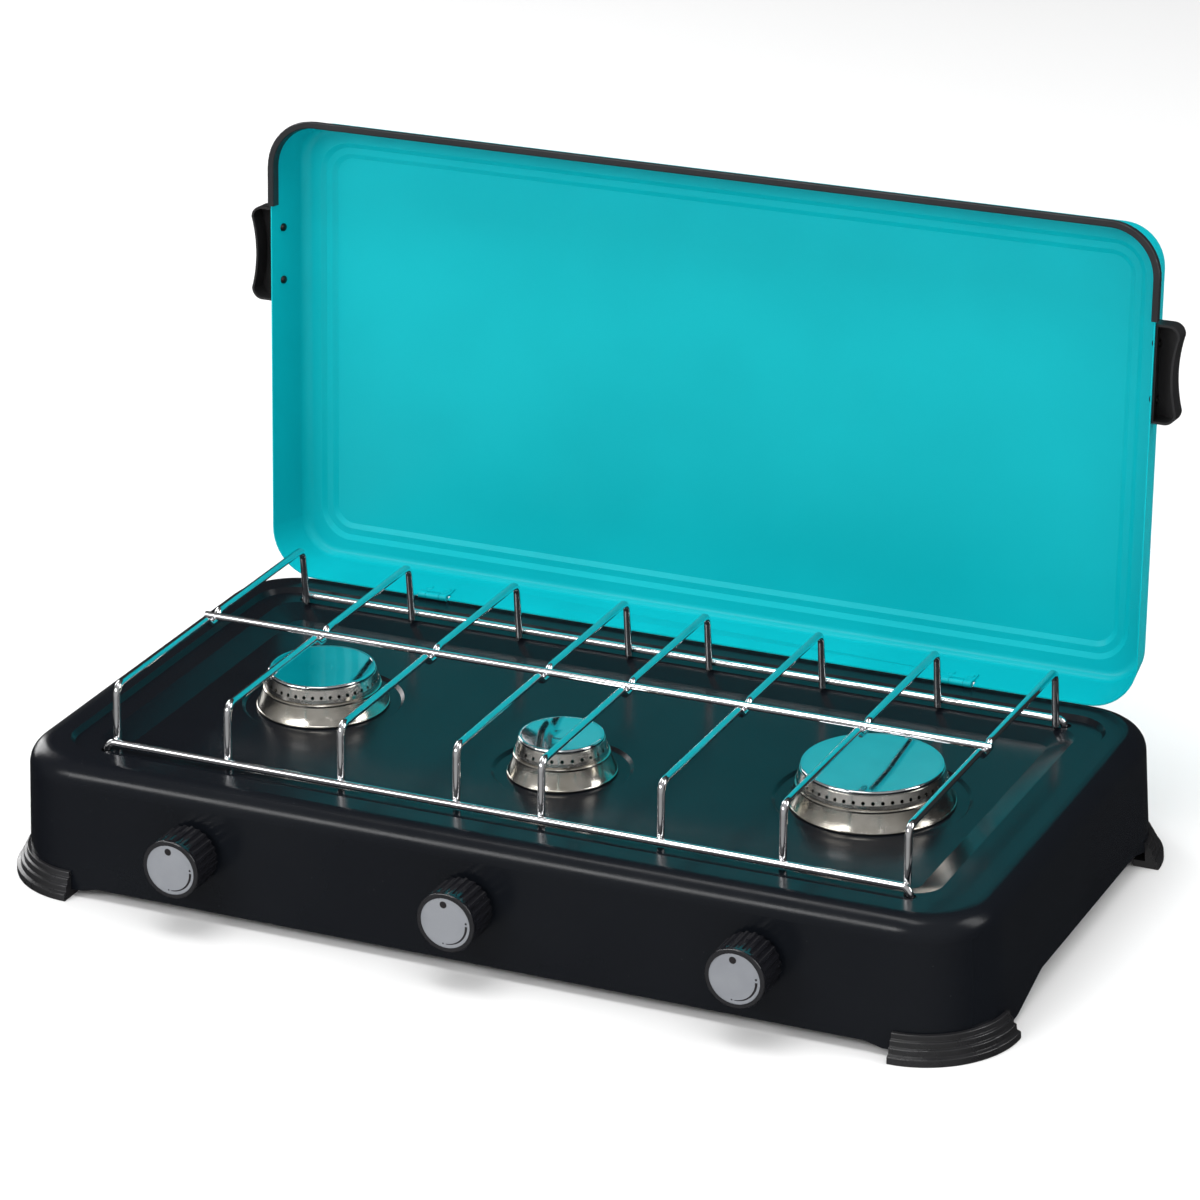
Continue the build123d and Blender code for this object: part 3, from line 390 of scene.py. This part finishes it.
def rivet_domes():
    """Rounded inner heads of the four rivets that hold the grips, seen on the lid's side walls."""
    heads = nodes["grip_rivets"].data.vertices
    data = bmesh.new()
    for side in (-1, 1):
        mine = [v.co for v in heads if v.co.x * side > 0]
        split_z = (min(v.z for v in mine) + max(v.z for v in mine)) / 2
        for upper in (False, True):
            rivet = [v for v in mine if (v.z > split_z) == upper]
            inner_x = min(v.x * side for v in rivet)
            mid_y, mid_z = ((min(v[i] for v in rivet) + max(v[i] for v in rivet)) / 2 for i in (1, 2))
            centre = Vector((side * inner_x, mid_y, mid_z))
            dome = bmesh.ops.create_uvsphere(data, u_segments=32, v_segments=18, radius=1.0)["verts"]
            for v in dome:
                across, along, out = v.co.x, v.co.y, v.co.z
                notch = NOTCH * math.exp(-(across ** 2 + along ** 2) / NOTCH_WIDTH) if out > 0 else 0.0
                depth = (out - notch) * DOME_H if out > 0 else out * DOME_ROOT
                v.co = centre + Vector((-side * (depth - DOME_SINK), across * RIVET_R, along * RIVET_R))
    return add_piece("rivet_domes", data, rivet_black, "lid")


rivet_domes()

# ---------------------------------------------------------------- camera, light and floor

YAW, PITCH, ROLL = math.radians(25.36), math.radians(22.59), math.radians(-1.12)
DISTANCE = 3.2764
LENS = 148.92
LOOK_AT = Vector((0.0, -0.012, 0.093))
SHIFT_RIGHT, SHIFT_UP = 0.00967, 0.08744  # from that point to the picture's middle

ahead = Vector((-math.sin(YAW) * math.cos(PITCH), math.cos(YAW) * math.cos(PITCH), -math.sin(PITCH)))
level = Vector((math.cos(YAW), math.sin(YAW), 0.0))
upward = level.cross(ahead)
right = level * math.cos(ROLL) + upward * math.sin(ROLL)
up = upward * math.cos(ROLL) - level * math.sin(ROLL)
aim = right * SHIFT_RIGHT + up * SHIFT_UP + LOOK_AT

camera = bpy.data.objects.new("camera", bpy.data.cameras.new("camera"))
camera.data.lens = LENS
camera.data.sensor_width = 36.0
camera.data.clip_start = 0.1
camera.data.clip_end = 30.0
turn = Matrix((right, up, -ahead)).transposed().to_4x4()
camera.matrix_world = Matrix.Translation(aim - ahead * DISTANCE) @ turn
bpy.context.scene.collection.objects.link(camera)
bpy.context.scene.camera = camera


def panel_light(name, place, target, size, power, mirrored=True):
    """A large soft rectangular light that faces a point. One that isn't mirrored only gives even light."""
    data = bpy.data.lights.new(name, "AREA")
    data.shape = "RECTANGLE"
    data.size, data.size_y = size
    data.energy = power
    lamp = bpy.data.objects.new(name, data)
    aimed = (Vector(target) - Vector(place)).to_track_quat("-Z", "Y").to_matrix().to_4x4()
    lamp.matrix_world = Matrix.Translation(place) @ aimed
    lamp.visible_glossy = mirrored
    bpy.context.scene.collection.objects.link(lamp)


panel_light("fill_light", (1.7, -3.1, 2.1), (0, 0.1, 0.25), (2.4, 1.8), 35, mirrored=False)
panel_light("ceiling", (0.0, 0.6, 3.4), (0, 0.6, 0), (5.0, 4.4), 115, mirrored=False)
panel_light("softbox_front", (-1.2, -2.25, 1.65), (0, 0, 0.08), (1.9, 0.62), 34)
panel_light("softbox_top", (-0.30, -0.45, 2.5), (0, 0, 0.1), (1.6, 0.5), 12)
panel_light("softbox_left", (-2.3, 1.2, 0.75), (0, 0, 0.12), (0.9, 1.3), 20)
panel_light("softbox_right", (2.2, 0.35, 1.5), (0, 0, 0.12), (0.8, 1.5), 20)

# The studio is dim in front and dark behind, so that the enamel mirrors little but the lid.
# The camera sees it as white.
BRIGHT_SIDE = (0.0, -0.85, 0.527)
DARKEST, BRIGHTEST = 0.03, 0.42
world = bpy.data.worlds.new("studio")
world.use_nodes = True
studio = world.node_tree
direction = studio.nodes.new("ShaderNodeTexCoord")
facing = studio.nodes.new("ShaderNodeVectorMath")
facing.operation = "DOT_PRODUCT"
facing.inputs[1].default_value = BRIGHT_SIDE
brightness = studio.nodes.new("ShaderNodeMapRange")
brightness.interpolation_type = "SMOOTHSTEP"
brightness.inputs["From Min"].default_value = -0.20
brightness.inputs["From Max"].default_value = 0.90
brightness.inputs["To Min"].default_value = DARKEST
brightness.inputs["To Max"].default_value = BRIGHTEST
studio.links.new(direction.outputs["Generated"], facing.inputs[0])
studio.links.new(facing.outputs["Value"], brightness.inputs["Value"])
seen = studio.nodes.new("ShaderNodeLightPath")
strength = studio.nodes.new("ShaderNodeMix")
strength.inputs["B"].default_value = 1.0
studio.links.new(seen.outputs["Is Camera Ray"], strength.inputs["Factor"])
studio.links.new(brightness.outputs["Result"], strength.inputs["A"])
studio.links.new(strength.outputs["Result"], studio.nodes["Background"].inputs["Strength"])
studio.nodes["Background"].inputs["Color"].default_value = (1.0, 1.0, 1.0, 1.0)
bpy.context.scene.world = world
bpy.context.scene.view_settings.view_transform = "Standard"

FLOOR_REACH = 3
floor_mesh = bpy.data.meshes.new("studio_floor")
corners = [(x * FLOOR_REACH, y * FLOOR_REACH, 0) for x, y in ((-1, -1), (1, -1), (1, 1), (-1, 1))]
floor_mesh.from_pydata(corners, [], [(0, 1, 2, 3)])
floor = bpy.data.objects.new("studio_floor", floor_mesh)
bpy.context.scene.collection.objects.link(floor)
floor_look = Shader("studio_floor")
floor_look.link(floor_look.mix(floor_look.noise(2.0), (0.91, 0.91, 0.91), (0.93, 0.93, 0.93)), "Base Color")
floor_look.set(Roughness=0.7)
floor_mesh.materials.append(floor_look.material)
floor.visible_glossy = False
